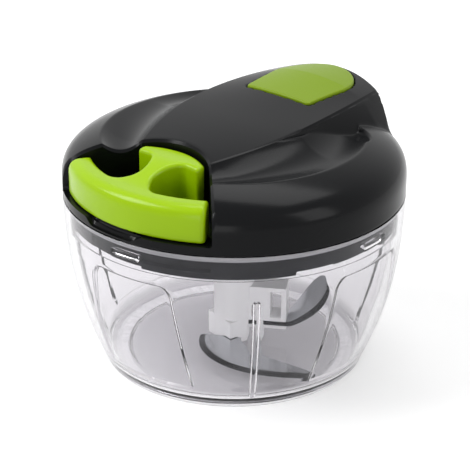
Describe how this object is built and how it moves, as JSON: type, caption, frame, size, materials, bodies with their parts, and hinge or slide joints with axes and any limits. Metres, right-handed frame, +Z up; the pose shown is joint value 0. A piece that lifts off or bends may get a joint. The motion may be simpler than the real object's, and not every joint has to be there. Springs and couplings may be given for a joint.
{
  "type": "pull cord food chopper",
  "caption": "Hand food chopper worked by a pull cord: clear bowl, bladed shaft on a steel pin, domed twist-on lid with a recessed pull handle",
  "frame": {"origin": "centre of the circle that the bowl's foot stands on", "axes": "+Z up along the blade shaft; the pull handle leaves the lid towards -Y; +X is to the right when the handle is nearest"},
  "size_m": [0.13, 0.13, 0.101],
  "materials": {
    "clear_plastic": "clear SAN with moulded grip pads",
    "lid_plastic": "charcoal ABS, satin gloss",
    "base_plastic": "charcoal ABS, semi-matt",
    "green_plastic": "lime green ABS, satin gloss",
    "green_plate": "lime green ABS, satin",
    "white_plastic": "white acetal",
    "inner_plastic": "black nylon",
    "silicone": "translucent silicone",
    "blade_steel": "ground stainless, bevelled edge",
    "steel": "turned stainless",
    "spring_steel": "blued spring strip",
    "cord": "braided nylon cord, 2 mm"
  },
  "bodies": {
    "bowl": {"bowl": "clear_plastic", "pivot_pin": "steel"},
    "blades": {"blade_shaft": "white_plastic", "blade_lower": "blade_steel", "blade_middle": "blade_steel", "blade_upper": "blade_steel"},
    "seal": {"lid_seal_ring": "silicone"},
    "lid": {"upper_cover": "lid_plastic", "top_plate": "green_plate", "lid_base": "base_plastic", "drive_bush": "white_plastic", "lid_screw_1": "steel", "lid_screw_2": "steel", "lid_screw_3": "steel", "lid_screw_4": "steel", "spool_axle": "steel", "axle_washer": "steel", "axle_screw": "steel", "spring_case": "inner_plastic", "spiral_spring": "spring_steel", "cord_eyelet": "steel", "cord_run": "cord"},
    "hub": {"drive_hub": "white_plastic"},
    "spool": {"cord_spool": "white_plastic", "wound_cord": "cord"},
    "first_pawl": {"pawl_1": "inner_plastic"},
    "second_pawl": {"pawl_2": "inner_plastic"},
    "handle": {"pull_handle": "green_plastic", "pull_cord": "cord", "cord_knot": "cord"}
  },
  "joints": [
    {"name": "lid_lift", "type": "slide", "parent": "bowl", "child": "seal", "axis": [0, 0, 1], "range_m": [0, 0.12]},
    {"name": "lid_turn", "type": "hinge", "parent": "seal", "child": "lid", "pos_m": [0, 0, 0.0676], "axis": [0, 0, 1], "range_deg": [-24, 0]},
    {"name": "handle_pull", "type": "slide", "parent": "lid", "child": "handle", "axis": [0, -1, 0], "range_m": [0, 0.3], "stiffness_N_per_m": 15, "springref_m": -0.1},
    {"name": "spool_spin", "type": "hinge", "parent": "lid", "child": "spool", "pos_m": [0, 0, 0.0799], "axis": [0, 0, 1], "range_deg": [-1020, 0]},
    {"name": "hub_spin", "type": "hinge", "parent": "lid", "child": "hub", "pos_m": [0, 0, 0.069], "axis": [0, 0, 1], "range_deg": [-1020, 0]},
    {"name": "blade_spin", "type": "hinge", "parent": "bowl", "child": "blades", "pos_m": [0, 0, 0.03], "axis": [0, 0, 1], "range_deg": [-1020, 0]},
    {"name": "first_pawl_swing", "type": "hinge", "parent": "spool", "child": "first_pawl", "pos_m": [0.00566, -0.00751, 0.0739], "axis": [0, 0, 1], "range_deg": [-14, 0], "stiffness_Nm_per_rad": 0.0005, "springref_deg": 11.46},
    {"name": "second_pawl_swing", "type": "hinge", "parent": "spool", "child": "second_pawl", "pos_m": [-0.00566, 0.00751, 0.0739], "axis": [0, 0, 1], "range_deg": [-14, 0], "stiffness_Nm_per_rad": 0.0005, "springref_deg": 11.46}
  ],
  "couplings": [
    {"joint": "spool_spin", "follows": "handle_pull", "rad_per_m": -58.824},
    {"joint": "hub_spin", "follows": "handle_pull", "rad_per_m": -58.824},
    {"joint": "blade_spin", "follows": "handle_pull", "rad_per_m": -58.824}
  ]
}
